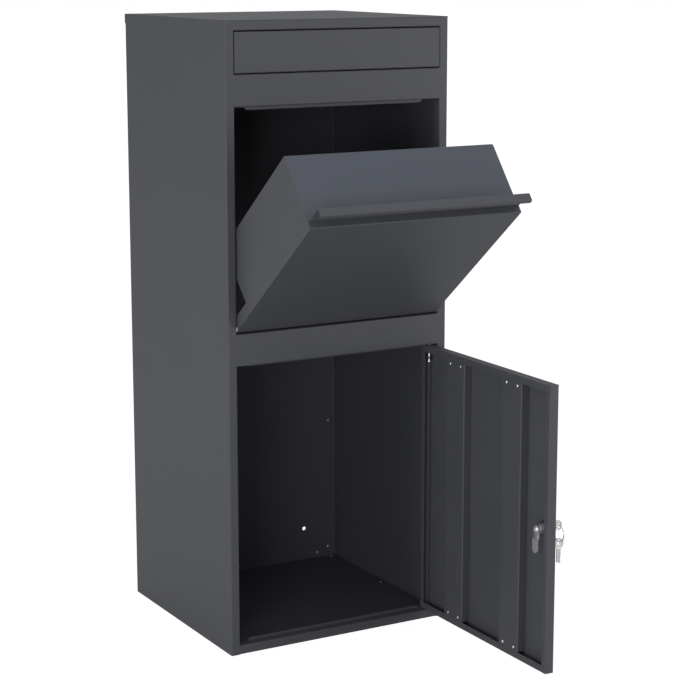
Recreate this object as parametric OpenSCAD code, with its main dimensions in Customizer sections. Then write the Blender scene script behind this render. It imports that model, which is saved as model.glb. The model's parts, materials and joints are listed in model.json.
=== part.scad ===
// Free-standing parcel drop box of folded sheet steel: a letter flap at the top, a tilting parcel
// hopper below it, and a locked compartment with a pivoted door at the bottom.
// Origin: centre of the footprint on the floor. +X right, +Y to the back, +Z up. Millimetres.

/* [Cabinet] */
// Overall width of the cabinet
body_w = 405; // [340:1:500]
// Overall depth of the cabinet
body_d = 380; // [320:1:480]
// Overall height of the cabinet
body_h = 1020; // [900:1:1260]
// Thickness of the sheet steel
sheet = 1; // [0.8:0.1:1.2]
// Inner radius of the bends
bend_r = 1; // [0.8:0.1:1.4]
// Width of each side panel's front flange
front_flange = 15.5; // [13:0.5:19]
// Depth of the return behind each front flange
flange_return = 17; // [14:0.5:20.5]
// Width of each side panel's rear flange
rear_flange = 18; // [16:0.5:24]
// Width of the side panels' flanges under the top and under the floor
seat_flange = 15; // [10:0.5:20]
// Height of the floor's underside above the ground
floor_lift = 5; // [4.8:0.1:8]

/* [Front openings] */
// Height of the rim above the letter opening
top_rim_h = 16; // [13:0.5:22]
// Height of the letter opening
letter_opening_h = 67; // [55:1:82]
// Height of the rail between the letter opening and the hopper
upper_rail_h = 50; // [40:1:62]
// Height of the hopper opening
hopper_opening_h = 357; // [300:1:430]
// Height of the rail between the hopper and the door
lower_rail_h = 52; // [42:1:64]
// Height of the base rail
base_rail_h = 15; // [12:0.5:20]
// Depth of the rail flanges that carry a stop lip
rail_depth = 18; // [17.8:0.1:24]
// How far a rail's stop lip stands into its opening
stop_lip_h = 4.5; // [3:0.5:6]

/* [Parcel hopper] */
// Angle of the hopper when it rests on its open stop
hopper_open = 51.4; // [40:0.1:62]
// Gap between the hopper's front and the side flanges
hopper_gap = 1; // [0.8:0.1:2]
// Depth from the front plane to the hopper's rear edge when it is shut
hopper_depth = 128; // [100:1:155]
// Distance from the top of the closed hopper panel to the top of its opening
grip_space = 39; // [32:1:50]
// Depth of the hopper panel's side and top returns
hopper_return = 20; // [15:0.5:24]
// How far the grip stands in front of the front plane when the hopper is shut
grip_proud = 2; // [0:0.5:5]
// Radius of the hopper's pivot pins
hopper_pin_r = 3; // [2:0.25:3.5]

/* [Door] */
// Opening angle of the door
door_open = 90; // [0:1:115]
// Thickness of the door
door_t = 16; // [13:0.5:16.5]
// Gap between the door and the side flanges
door_gap = 2; // [1.6:0.1:3]
// Gap between the door and the rails
door_gap_z = 1.5; // [1:0.1:3]
// Width of the door's inner flanges
door_flange = 11; // [8:0.5:14]
// Distance from the door's hinge edge to the pivot
door_pivot_side = 9.5; // [9:0.1:11]
// Depth of the door pivot behind the front plane
door_pivot_in = 6.5; // [6:0.1:7]
// Radius of the door's pivot pins
door_pin_r = 2; // [1.5:0.25:3]
// Width of a door stiffener
stiffener_w = 54; // [40:1:70]
// Distance from the middle of the door to the middle of each stiffener
stiffener_offset = 81; // [60:1:95]

/* [Lock] */
// Distance from the door's free edge to the lock's axis
lock_inset = 22.5; // [20:0.5:32]
// Outer radius of the lock barrel
lock_r = 9; // [8:0.5:9.5]
// Radius of the plug that the key turns
plug_r = 6; // [5.5:0.25:6.5]
// Length of the lock barrel behind the door's outer face
lock_len = 20; // [18:0.5:24]
// Distance from the lock's axis to the tip of the cam
cam_reach = 38; // [32:1:38]
// Width of the cam
cam_w = 13.5; // [12:0.5:18]
// How far the cam's arm is cranked away from the door
cam_crank = 2; // [0:0.5:3]
// Radius of a key's round bow
bow_r = 8.8; // [7:0.1:11]
// Radius of the key ring, to the middle of its wire
ring_r = 13; // [10:0.5:16]

/* [Letter flap] */
// Gap round the letter flap
flap_gap = 1.5; // [1.2:0.1:3]
// Depth of the letter flap's returns
flap_t = 7; // [6:0.5:8]
// Radius of the letter flap's hinge rod
rod_r = 2; // [1.5:0.25:2.5]
// Depth of the letter chute's lower edge behind the front plane
chute_reach = 150; // [140:1:200]

/* [Fasteners and fixing holes] */
// Distance of the wall fixing holes from the cabinet's sides, base and top
wall_hole_inset = 65; // [40:1:90]
// Radius of the wall fixing holes
wall_hole_r = 3.5; // [2.5:0.25:6]
// Radius of a rivet's shank
rivet_r = 1.6; // [1.2:0.1:2]
// Radius of a rivet's domed head
rivet_head_r = 2.8; // [2.4:0.1:3.4]
// Number of rivets down each side of the back panel
back_rivets = 5; // [3:1:8]

/* [Hidden] */

$fn = 64;
bend_steps = 5;
run_clear = 0.05;          // radial running clearance of a pin in its hole
seat_clear = 0.3;          // gap between pieces that only sit side by side
cut_past = 1;              // how far a cutting tool runs past the face that it cuts

half_w = body_w/2;
half_open = half_w - front_flange;            // half width of the front openings
back_face = body_d - sheet;                   // outer face of the rear flanges
panel_top = body_h - sheet;                   // top edge of the side panels

// Heights of the front openings, worked out from the top down
letter_top = body_h - top_rim_h;
letter_bottom = letter_top - letter_opening_h;
hopper_top_z = letter_bottom - upper_rail_h;
hopper_bottom_z = hopper_top_z - hopper_opening_h;
door_top_z = hopper_bottom_z - lower_rail_h;
door_bottom_z = base_rail_h;

// Hopper, in its own frame: origin on the pivot, upright as when shut
hopper_pin_head_r = hopper_pin_r + 0.7;
hopper_pivot_in = sheet + hopper_pin_head_r + 0.3;      // behind the front plane
hopper_pivot_up = hopper_pivot_in + 3;                  // above the lower rail
hopper_pivot_z = hopper_bottom_z + hopper_pivot_up;
hop_half = half_open - hopper_gap;
hop_inner = hop_half - sheet;                 // outer faces of the hopper's side plates
hop_front = -hopper_pivot_in;
hop_low = hop_front;
hop_top = hopper_opening_h - hopper_pivot_up - grip_space;
hop_rear = hopper_depth - hopper_pivot_in;
hop_floor_front = 58;                         // height of the hopper floor at its front edge
hop_floor_drop = 12;                          // how far the floor falls towards the rear
grip_clear = 2.3;                             // gap above the grip when the hopper is shut
grip_top = hopper_opening_h - hopper_pivot_up - grip_clear;
grip_web_y = hop_front + 11.5;                // front face of the upright behind the grip
grip_foot = 13;
hem = 6;                                      // depth of the folded hem on the grip
lug_h = 20;
lug_w = 12;
lug_gap = 0.6;
// The lugs meet the rear edge of the side panels' returns when the hopper is fully open
lug_top = ((hop_rear - sheet)*cos(hopper_open) - (flange_return + lug_gap - hopper_pivot_in))
          / sin(hopper_open);

// Door, shut: outer face on the front plane
door_half = half_open - door_gap;
door_low = door_bottom_z + door_gap_z;
door_high = door_top_z - door_gap_z;
pivot_x = door_half - door_pivot_side;
door_bend = 2;
// The stop lips end clear of the circle that the door's hinge corner sweeps
door_sweep = sqrt(pow(door_pivot_side, 2) + pow(door_t - door_pivot_in, 2));
lip_half = pivot_x - sqrt(max(0, pow(door_sweep, 2) - pow(rail_depth - sheet - door_pivot_in, 2))) - 1;
tab_w = stiffener_w - 2*sheet - 2;
tab_h = 13;
door_rivet_pitch = 30;
door_rivet_inset = door_flange + 5.5;
door_pin_reach = 26;                          // length of the top pin below the door's top edge
door_pin_head = 3;
pin_bracket_drop = 22;                        // from the door's top edge down to the pin's bracket
pin_bracket_reach = 16;
pin_bracket_leg = 12;
pin_bracket_set_back = 4;                     // from the inner face of the door to the bracket
pin_end = 2.5;                                // how far a pivot pin passes its rail's flange

lock_x = -door_half + lock_inset;
lock_z = (door_low + door_high)/2;
nut_t = 5;
nut_r = lock_r*1.42;
bezel_t = 2;
plug_face = bezel_t + 0.4;
cam_t = 2;
cam_face = -lock_len - 0.7;                   // outer face of the cam
tail_side = 6;
screw_r = 2;
screw_len = 7;
screw_head_r = 4.6;
screw_head_h = 2.4;
key_t = 2;
keyway_gap = 0.2;
bow_z = 17.5;                                 // distance of the bow's middle from the door
bow_hole_z = bow_z + 3.5;
bow_hole_r = 2.6;
blade_w = 7.4;
blade_end = -14;
ring_wire_r = 0.8;

flap_half = half_open - flap_gap + 0.5;
flap_low = letter_bottom + flap_gap;
flap_high = letter_top - flap_gap;
rod_behind_sheet = 1.2;                       // gap between the flap's sheet and its rod
rod_below_sheet = 1.5;                        // gap between the flap's top return and its rod
flap_pivot_y = rod_r + sheet + rod_behind_sheet;
flap_pivot_z = flap_high - rod_r - sheet - rod_below_sheet;

rim_seat = 20;                                // depth of the rim's seat under the top
rim_return = 10;                              // depth of the return below the rim
chute_lip = 14;
beam_half = 20;                               // half the width of the floor beam's channel
beam_foot = 20;                               // width of each of its seats

rivet_inset = 14;                             // from the cabinet's side
rivet_x = half_w - rivet_inset;
back_rivet_low = 23;
back_rivet_high = letter_top - 8;
floor_flange_h = 20;
floor_top = floor_lift + sheet;
foot_rivet_inset = 11;                        // from the cabinet's side
foot_rivet_x = half_w - foot_rivet_inset;

function back_rivet_z(i) = back_rivet_low + i*(back_rivet_high - back_rivet_low)/(back_rivets - 1);

// ---------- Folded sheet ----------
// A path follows one face of the sheet, and the sheet lies to the left of the way it runs.
function left_of(a, b) = let (d = (b - a)/norm(b - a)) [-d[1], d[0]];

function bend_points(corner, n0, n1, offset, thick, r) =
  let (is_left = n0[0]*n1[1] - n0[1]*n1[0] > 0,
       reach = is_left ? r + thick : -r,
       centre = corner + (n0 + n1)*reach/(1 + n0*n1),
       radius = is_left ? -(r + thick - offset) : r + offset,
       start = atan2(n0[1], n0[0]),
       turn = (is_left ? 1 : -1)*acos(n0*n1))
  [for (i = [0:bend_steps]) let (a = start + turn*i/bend_steps) centre + radius*[cos(a), sin(a)]];

function sheet_face(path, offset, thick, r) =
  let (last = len(path) - 1)
  [path[0] + left_of(path[0], path[1])*offset,
   for (i = [1:1:last - 1])
     each bend_points(path[i], left_of(path[i - 1], path[i]), left_of(path[i], path[i + 1]),
                      offset, thick, r),
   path[last] + left_of(path[last - 1], path[last])*offset];

function reversed(list) = [for (i = [len(list) - 1:-1:0]) list[i]];

module folded_profile(path, r = bend_r)
  polygon(concat(sheet_face(path, 0, sheet, r), reversed(sheet_face(path, sheet, sheet, r))));

// A profile in Y and Z, drawn out along X on both sides of the middle
module along_x(half, path, r = bend_r)
  translate([-half, 0, 0]) rotate([90, 0, 90]) linear_extrude(2*half) folded_profile(path, r);

// A profile in X and Y, drawn upwards
module upright(low, high, path, r = bend_r)
  translate([0, 0, low]) linear_extrude(high - low) folded_profile(path, r);

// A box between two opposite corners
module block(low, high) translate(low) cube(high - low);

module rod_x(x0, x1, y, z, r) translate([x0, y, z]) rotate([0, 90, 0]) cylinder(r = r, h = x1 - x0);
module rod_y(y0, y1, x, z, r) translate([x, y1, z]) rotate([90, 0, 0]) cylinder(r = r, h = y1 - y0);
module rod_z(z0, z1, x, y, r) translate([x, y, z0]) cylinder(r = r, h = z1 - z0);

// A stop lip on a rail's flange: a plate with slanted ends that runs from z_root to z_tip
module stop_lip(y, z_root, z_tip) {
  slant = abs(z_tip - z_root);
  translate([0, y + sheet, 0]) rotate([90, 0, 0]) linear_extrude(sheet)
    polygon([[-lip_half, z_root], [lip_half, z_root], [lip_half - slant, z_tip], [slant - lip_half, z_tip]]);
}

// A rivet along +Z: domed head above z = 0, shank through `grip`, flat tail below it
module rivet(grip, head_r = rivet_head_r, head_h = 1.3, tail_h = 0.8) {
  ball = (head_r*head_r + head_h*head_h)/(2*head_h);
  intersection() {
    translate([0, 0, head_h - ball]) sphere(r = ball);
    cylinder(r = head_r, h = head_h);
  }
  translate([0, 0, -grip]) cylinder(r = rivet_r, h = grip);
  translate([0, 0, -grip - tail_h]) cylinder(r = rivet_r*1.45, h = tail_h);
}

// Frames: all pieces are drawn with y = 0 on the front plane
module front() translate([0, -body_d/2, 0]) children();
module hopper_frame() translate([0, hopper_pivot_in, hopper_pivot_z]) rotate([hopper_open, 0, 0]) children();
module door_frame() translate([pivot_x, door_pivot_in, 0]) rotate([0, 0, door_open])
  translate([-pivot_x, -door_pivot_in, 0]) children();
// Lock: +Z runs out of the door's face, +Y stays up
module lock_frame() door_frame() translate([lock_x, 0, lock_z]) rotate([90, 0, 0]) children();

module both_sides() {
  children();
  mirror([1, 0, 0]) children();
}

// ---------- Cabinet ----------
module side_panel() {
  flange_in = -half_w + sheet;
  difference() {
    union() {
      upright(0, panel_top, [[-half_w + rear_flange, back_face], [-half_w, back_face], [-half_w, 0],
                             [-half_open, 0], [-half_open, flange_return]]);
      for (z = [floor_lift - sheet, panel_top - sheet])
        block([flange_in - sheet/2, flange_return + 1, z],
              [flange_in + seat_flange, back_face - sheet - 0.5, z + sheet]);
    }
    rod_x(-half_open - sheet - cut_past, -half_open + cut_past, hopper_pivot_in, hopper_pivot_z, hopper_pin_r);
    rod_x(-half_open - sheet - cut_past, -half_open + cut_past, flap_pivot_y, flap_pivot_z, rod_r);
    block([-half_w - 1, back_face - bend_r, panel_top - bend_r], [-half_w + rear_flange + 1, body_d, panel_top + 1]);
    for (i = [0:back_rivets - 1])
      rod_y(back_face - sheet - 1, back_face + 1, -rivet_x, back_rivet_z(i), rivet_r);
    for (y = foot_rivet_ys()) rod_z(floor_lift - sheet - 1, floor_lift + 1, -foot_rivet_x, y, rivet_r);
  }
}

function foot_rivet_ys() = [flange_return + 12, body_d/2, back_face - sheet - 8];
function base_rivet_xs() = let (x = half_w - rear_flange - 19) [-x, 0, x];

module side_panel_left() color([0.22, 0.23, 0.25]) front() side_panel();
module side_panel_right() color([0.22, 0.23, 0.25]) front() mirror([1, 0, 0]) side_panel();

module top_panel() color([0.24, 0.25, 0.27]) front() {
  along_x(half_w, [[body_d, letter_top], [body_d, body_h], [0, body_h]]);
  along_x(half_open, [[rim_seat, body_h], [0, body_h], [0, letter_top], [rim_return, letter_top]]);
}

module back_panel() color([0.21, 0.22, 0.24]) front() difference() {
  block([-half_w + 2, back_face, 1], [half_w - 2, body_d, letter_top - 1]);
  for (x = [-1, 1], z = [wall_hole_inset, body_h - wall_hole_inset])
    rod_y(back_face - 1, body_d + 1, x*(half_w - wall_hole_inset), z, wall_hole_r);
  for (x = [-rivet_x, rivet_x], i = [0:back_rivets - 1])
    rod_y(back_face - 1, body_d + 1, x, back_rivet_z(i), rivet_r);
  for (x = base_rivet_xs()) rod_y(back_face - 1, body_d + 1, x, floor_top + floor_flange_h/2 - 2, rivet_r);
}

module floor_panel() color([0.2, 0.21, 0.23]) front() difference() {
  union() {
    block([-half_w + sheet + seat_clear, flange_return + 0.5, floor_lift],
          [half_w - sheet - seat_clear, back_face - sheet - seat_clear, floor_top]);
    block([-half_open + seat_clear, sheet + seat_clear, floor_lift],
          [half_open - seat_clear, flange_return + 1, floor_top]);
    along_x(half_w - rear_flange - 1, [[body_d/2, floor_lift], [back_face, floor_lift],
                                       [back_face, floor_lift + floor_flange_h]]);
  }
  for (s = [-1, 1], y = foot_rivet_ys()) rod_z(floor_lift - cut_past, floor_top + cut_past, s*foot_rivet_x, y, rivet_r);
  for (x = base_rivet_xs())
    rod_y(back_face - sheet - 1, back_face + 1, x, floor_top + floor_flange_h/2 - 2, rivet_r);
}

// Hat-section beam under the middle of the floor, standing on the ground
module floor_beam() color([0.2, 0.21, 0.23]) front() {
  mid = body_d/2;
  foot = floor_lift - sheet;
  along_x(half_w - sheet - seat_flange - 1,
          [[mid - beam_half - beam_foot, foot], [mid - beam_half, foot], [mid - beam_half, 0],
           [mid + beam_half, 0], [mid + beam_half, foot], [mid + beam_half + beam_foot, foot]]);
}

module door_pin_hole(low) rod_z(low - cut_past, low + sheet + cut_past, pivot_x, door_pivot_in, door_pin_r + run_clear);

module base_rail() color([0.22, 0.23, 0.25]) front() difference() {
  union() {
    along_x(half_open, [[rail_depth, base_rail_h], [0, base_rail_h], [0, 0], [rail_depth - 3, 0]]);
    stop_lip(rail_depth - sheet, base_rail_h - sheet, base_rail_h + stop_lip_h);
  }
  door_pin_hole(base_rail_h - sheet);
}

module lower_rail() color([0.22, 0.23, 0.25]) front() difference() {
  union() {
    along_x(half_open, [[rail_depth - 3, hopper_bottom_z], [0, hopper_bottom_z], [0, door_top_z],
                        [rail_depth, door_top_z]]);
    stop_lip(rail_depth - sheet, door_top_z + sheet, door_top_z - stop_lip_h);
  }
  door_pin_hole(door_top_z);
}

module upper_rail() color([0.22, 0.23, 0.25]) front() {
  along_x(half_open, [[rail_depth - 4, letter_bottom], [0, letter_bottom], [0, hopper_top_z],
                      [rail_depth - 2, hopper_top_z]]);
  stop_lip(rail_depth - 2 - sheet, hopper_top_z + sheet, hopper_top_z - stop_lip_h - 1.5);
}

// Sloping plate that carries letters over the hopper to the rear of the cabinet
module letter_chute() color([0.2, 0.21, 0.23]) front() difference() {
  seat = letter_bottom - 2*sheet;
  edge = hopper_top_z;
  along_x(half_w - sheet - seat_clear,
          [[sheet + 1, seat], [flange_return + 2, seat], [chute_reach, edge],
           [chute_reach, edge - chute_lip]]);
  both_sides() block([-half_w, -1, seat - 1], [-half_open + seat_clear, flange_return + 0.5, letter_bottom + 5]);
}

module back_rivet_set() color([0.72, 0.73, 0.75]) front() {
  for (x = [-rivet_x, rivet_x], i = [0:back_rivets - 1])
    translate([x, back_face - sheet, back_rivet_z(i)]) rotate([90, 0, 0]) rivet(2*sheet);
  for (x = base_rivet_xs())
    translate([x, back_face - sheet, floor_top + floor_flange_h/2 - 2]) rotate([90, 0, 0]) rivet(2*sheet);
}

module floor_rivet_set() color([0.72, 0.73, 0.75]) front()
  for (s = [-1, 1], y = foot_rivet_ys()) translate([s*foot_rivet_x, y, floor_top]) rivet(2*sheet);

// ---------- Letter flap ----------
module letter_flap_rod() color([0.7, 0.71, 0.73]) front()
  rod_x(-half_open - sheet - 1.5, half_open + sheet + 1.5, flap_pivot_y, flap_pivot_z, rod_r);

module letter_flap() color([0.22, 0.23, 0.25]) front() difference() {
  union() {
    along_x(flap_half, [[flap_t, flap_high], [0, flap_high], [0, flap_low], [flap_t, flap_low]]);
    both_sides() block([-flap_half, sheet/2, flap_low + sheet/2], [-flap_half + sheet, flap_t, flap_high - sheet/2]);
  }
  both_sides() rod_x(-flap_half - cut_past, -flap_half + sheet + cut_past, flap_pivot_y, flap_pivot_z, rod_r + run_clear);
}

// ---------- Parcel hopper ----------
module hopper_pins() color([0.7, 0.71, 0.73]) front()
  translate([0, hopper_pivot_in, hopper_pivot_z]) both_sides() {
    rod_x(-half_open - sheet - 1.5, -hop_inner + 0.5, 0, 0, hopper_pin_r);
    rod_x(-hop_inner + 0.5, -hop_inner + 2.5, 0, 0, hopper_pin_head_r);
  }

module hopper_washers() color([0.85, 0.85, 0.84]) front()
  translate([0, hopper_pivot_in, hopper_pivot_z]) both_sides() difference() {
    rod_x(-half_open + 0.1, -hop_half - 0.1, 0, 0, hopper_pin_r + 1.6);
    rod_x(-half_open - 1, -hop_half + 1, 0, 0, hopper_pin_r + run_clear);
  }

module hopper_front() color([0.22, 0.23, 0.25]) front() hopper_frame() difference() {
  rear = hop_front + hopper_return;
  union() {
    along_x(hop_half, [[rear, hop_top], [hop_front, hop_top], [hop_front, hop_low],
                       [hop_front + 12, hop_low]]);
    both_sides() block([-hop_half, hop_front + sheet/2, hop_low + sheet/2],
                       [-hop_inner, rear, hop_top - sheet/2]);
  }
  both_sides() rod_x(-hop_half - cut_past, -hop_inner + cut_past, 0, 0, hopper_pin_r + run_clear);
}

module hopper_grip() color([0.23, 0.24, 0.26]) front() hopper_frame()
  along_x(hop_inner, [[hop_front - grip_proud + sheet, grip_top - sheet - hem],
                      [hop_front - grip_proud + sheet, grip_top - sheet], [grip_web_y, grip_top - sheet],
                      [grip_web_y, hop_top], [grip_web_y + grip_foot, hop_top]]);

module hopper_top() color([0.25, 0.26, 0.29]) front() hopper_frame() {
  top = hop_top - sheet;
  block([-hop_inner, hop_front + sheet + bend_r, top - sheet], [hop_inner, hop_rear - 3, top]);
  along_x(hop_inner - sheet, [[hop_rear, top - 10], [hop_rear, top], [hop_rear - 20, top]]);
}

module hopper_side() {
  top = hop_top - 2*sheet;
  front_y = hop_front + sheet;
  translate([-hop_inner, 0, 0]) rotate([90, 0, 90]) linear_extrude(sheet)
    polygon([[front_y, hop_floor_front], [hop_rear, hop_floor_front - hop_floor_drop], [hop_rear, top],
             [front_y, top]]);
  block([-hop_inner - lug_w, hop_rear - sheet, lug_top - lug_h], [-hop_inner + sheet, hop_rear, lug_top]);
}

module hopper_side_left() color([0.22, 0.23, 0.25]) front() hopper_frame() hopper_side();
module hopper_side_right() color([0.22, 0.23, 0.25]) front() hopper_frame() mirror([1, 0, 0]) hopper_side();

module hopper_floor() color([0.22, 0.23, 0.25]) front() hopper_frame() {
  half = hop_inner - sheet;
  front_y = hop_front + sheet;
  along_x(half, [[front_y, hop_floor_front + 12], [front_y, hop_floor_front],
                 [hop_rear, hop_floor_front - hop_floor_drop]]);
}

// ---------- Door ----------
module door_end(z_low, z_flange, z_tab) {
  both = [min(z_flange, z_tab), max(z_flange, z_tab)];
  edge = door_half - sheet/2;
  block([-edge, sheet/2, z_low], [edge, door_t - sheet/2, z_low + sheet]);
  block([-edge, door_t - sheet, both[0]], [edge, door_t, both[1]]);
}

module door_tab(x, low, high) block([x - tab_w/2, door_t - 2*sheet, low], [x + tab_w/2, door_t - sheet, high]);

module door_rivet_places()
  for (x = [-1, 1], dx = [-0.5, 0.5], z = [door_low + door_rivet_inset, door_high - door_rivet_inset])
    translate([x*stiffener_offset + dx*door_rivet_pitch, door_t, z]) rotate([-90, 0, 0]) children();

module door_panel() color([0.22, 0.23, 0.25]) front() door_frame() difference() {
  union() {
    upright(door_low, door_high,
            [[-door_half + door_flange, door_t], [-door_half, door_t], [-door_half, 0], [door_half, 0],
             [door_half, door_t], [door_half - door_flange, door_t]], door_bend);
    door_end(door_low, door_low, door_low + door_flange);
    door_end(door_high - sheet, door_high - door_flange, door_high);
    for (x = [-stiffener_offset, stiffener_offset]) {
      door_tab(x, door_low + door_flange - 4, door_low + door_flange + tab_h);
      door_tab(x, door_high - door_flange - tab_h, door_high - door_flange + 4);
    }
  }
  door_rivet_places() translate([0, 0, -2*sheet - 1]) cylinder(r = rivet_r, h = 2*sheet + 2);
  rod_y(-cut_past, sheet + cut_past, lock_x, lock_z, lock_r);
  rod_z(door_high - sheet - cut_past, door_high + cut_past, pivot_x, door_pivot_in, door_pin_r);
  rod_z(door_low - cut_past, door_low + sheet + cut_past, pivot_x, door_pivot_in, door_pin_r);
}

module door_stiffener(x) front() door_frame() difference() {
  hw = stiffener_w/2;
  upright(door_low + door_flange + seat_clear, door_high - door_flange - seat_clear,
          [[x + hw, sheet], [x + hw, door_t], [x - hw, door_t], [x - hw, sheet]]);
  door_rivet_places() translate([0, 0, -sheet - 1]) cylinder(r = rivet_r, h = sheet + 2);
}

module door_stiffener_hinge() color([0.23, 0.24, 0.26]) door_stiffener(stiffener_offset);
module door_stiffener_lock() color([0.23, 0.24, 0.26]) door_stiffener(-stiffener_offset);

module door_rivet_set() color([0.85, 0.86, 0.88]) front() door_frame()
  door_rivet_places() rivet(2*sheet);

module door_pin_top() color([0.85, 0.86, 0.88]) front() door_frame() {
  low = door_high - door_pin_reach;
  rod_z(low, door_top_z + sheet + pin_end, pivot_x, door_pivot_in, door_pin_r);
  rod_z(low - door_pin_head, low, pivot_x, door_pivot_in, door_pin_r + 1.2);
}

module door_pin_bottom() color([0.7, 0.71, 0.73]) front() door_frame() {
  high = door_low + sheet;
  rod_z(base_rail_h - sheet - pin_end, high, pivot_x, door_pivot_in, door_pin_r);
  rod_z(high, high + door_pin_head, pivot_x, door_pivot_in, door_pin_r + 1.2);
}

// Small angle on the door's hinge-side return that guides the top pin
module door_pin_bracket() color([0.22, 0.23, 0.25]) front() door_frame() difference() {
  z = door_high - pin_bracket_drop;
  wall = door_half - sheet;
  inner_y = door_t - pin_bracket_set_back;
  translate([0, inner_y, 0]) rotate([90, 0, 0]) linear_extrude(inner_y - sheet - door_bend)
    folded_profile([[wall - pin_bracket_reach, z], [wall, z], [wall, z + pin_bracket_leg]]);
  rod_z(z - cut_past, z + sheet + cut_past, pivot_x, door_pivot_in, door_pin_r);
}

// ---------- Lock and keys ----------
module lock_barrel() color([0.8, 0.8, 0.82]) front() lock_frame() difference() {
  union() {
    cylinder(r = lock_r + 2, h = bezel_t);
    translate([0, 0, -lock_len]) cylinder(r = lock_r, h = lock_len);
  }
  translate([0, 0, -lock_len - 1]) cylinder(r = plug_r + run_clear, h = lock_len + bezel_t + 2);
}

module lock_nut() color([0.75, 0.75, 0.77]) front() lock_frame()
  translate([0, 0, -sheet - nut_t]) difference() {
    cylinder(r = nut_r, h = nut_t, $fn = 6);
    translate([0, 0, -1]) cylinder(r = lock_r, h = nut_t + 2);
  }

module lock_plug() color([0.78, 0.75, 0.66]) front() lock_frame() difference() {
  union() {
    translate([0, 0, -lock_len - 0.4]) cylinder(r = plug_r, h = lock_len + 0.4 + plug_face);
    translate([-tail_side/2, -tail_side/2, cam_face - cam_t + 0.2])
      cube([tail_side, tail_side, lock_len + cam_t - cam_face - lock_len]);
  }
  translate([-key_t/2 - keyway_gap, -blade_w/2 - keyway_gap, blade_end - 1])
    cube([key_t + 2*keyway_gap, blade_w + 2*keyway_gap, plug_face - blade_end + 2]);
  translate([0, 0, cam_face - cam_t - cut_past]) cylinder(r = screw_r, h = screw_len + 2*cut_past);
}

// The cam's outline, seen along the lock's axis
module cam_outline() {
  circle(r = cam_w/2);
  translate([0, -cam_reach + cam_w/2]) circle(r = cam_w/2);
  translate([-cam_w/2, -cam_reach + cam_w/2]) square([cam_w, cam_reach - cam_w/2]);
}

module lock_cam() color([0.78, 0.78, 0.8]) front() lock_frame() difference() {
  seat = cam_face - cam_t;
  bend = [-nut_r, -nut_r - 1.5*cam_crank];
  intersection() {
    translate([0, 0, seat - cam_crank - 1]) linear_extrude(cam_t + cam_crank + 2) cam_outline();
    rotate([90, 0, 90]) linear_extrude(2*cam_w, center = true)
      polygon([[cam_w, cam_face], [cam_w, seat], [bend[0], seat], [bend[1], seat - cam_crank],
               [-cam_reach - 1, seat - cam_crank], [-cam_reach - 1, cam_face - cam_crank],
               [bend[1], cam_face - cam_crank], [bend[0], cam_face]]);
  }
  translate([0, 0, seat - 1]) linear_extrude(cam_t + 2) square(tail_side + 0.1, center = true);
}

module cam_screw() color([0.85, 0.85, 0.87]) front() lock_frame()
  translate([0, 0, cam_face - cam_t]) {
    cylinder(r = screw_r, h = screw_len);
    translate([0, 0, -screw_head_h]) cylinder(r = screw_head_r, h = screw_head_h);
  }

// A key with its bow's middle on Z, its blade pointing down, in the plane x = 0
module key_shape() difference() {
  union() {
    translate([-key_t/2, 0, bow_z]) rotate([0, 90, 0]) cylinder(r = bow_r, h = key_t);
    translate([-key_t/2, -blade_w/2, blade_end]) cube([key_t, blade_w, bow_z - blade_end]);
  }
  translate([-key_t, 0, bow_hole_z]) rotate([0, 90, 0]) cylinder(r = bow_hole_r, h = 2*key_t);
}

module key() color([0.86, 0.86, 0.87]) front() lock_frame() key_shape();

module key_ring() color([0.86, 0.86, 0.87]) front() lock_frame()
  translate([0, -ring_r, bow_hole_z]) rotate_extrude() translate([ring_r, 0]) circle(r = ring_wire_r, $fn = 24);

module spare_key() color([0.86, 0.86, 0.87]) front() lock_frame()
  translate([0, -2*ring_r, bow_hole_z]) rotate([-90, 0, 0]) translate([0, 0, -bow_hole_z]) key_shape();

side_panel_left();
side_panel_right();
top_panel();
back_panel();
floor_panel();
floor_beam();
base_rail();
lower_rail();
upper_rail();
letter_chute();
back_rivet_set();
floor_rivet_set();
letter_flap_rod();
letter_flap();
hopper_pins();
hopper_washers();
hopper_front();
hopper_grip();
hopper_top();
hopper_side_left();
hopper_side_right();
hopper_floor();
door_panel();
door_stiffener_hinge();
door_stiffener_lock();
door_rivet_set();
door_pin_top();
door_pin_bottom();
door_pin_bracket();
lock_barrel();
lock_nut();
lock_plug();
lock_cam();
cam_screw();
key();
key_ring();
spare_key();
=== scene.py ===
"""Looks of a steel parcel drop box: paint, bright fasteners, lock and keys, floor, light and camera.

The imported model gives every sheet-metal piece its shape and place. This script gives each piece
its finish, and makes the small turned and stamped pieces whose shape is finer than the model's:
rivets, the lock's barrel, nut and screw, the keys and their split ring.
"""

import json
import logging
import math
from dataclasses import dataclass, field
from enum import Enum
from typing import Any, Sequence

import bmesh
import bpy
from mathutils import Matrix, Vector


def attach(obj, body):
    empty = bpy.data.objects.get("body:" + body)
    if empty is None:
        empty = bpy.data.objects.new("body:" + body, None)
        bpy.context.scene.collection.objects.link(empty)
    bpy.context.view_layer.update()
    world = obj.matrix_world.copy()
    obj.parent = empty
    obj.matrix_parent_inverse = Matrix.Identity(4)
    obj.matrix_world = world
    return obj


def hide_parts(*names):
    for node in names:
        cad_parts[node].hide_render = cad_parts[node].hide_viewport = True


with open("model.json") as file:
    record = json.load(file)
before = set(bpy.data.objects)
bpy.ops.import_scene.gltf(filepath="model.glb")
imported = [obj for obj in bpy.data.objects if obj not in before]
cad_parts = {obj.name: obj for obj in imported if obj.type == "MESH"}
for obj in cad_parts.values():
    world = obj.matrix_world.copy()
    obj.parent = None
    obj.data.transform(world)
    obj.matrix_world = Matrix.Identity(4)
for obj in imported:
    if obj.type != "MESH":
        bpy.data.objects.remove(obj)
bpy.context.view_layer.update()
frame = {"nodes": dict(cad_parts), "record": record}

log = logging.getLogger("parcel_box")
MM = 0.001
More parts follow.
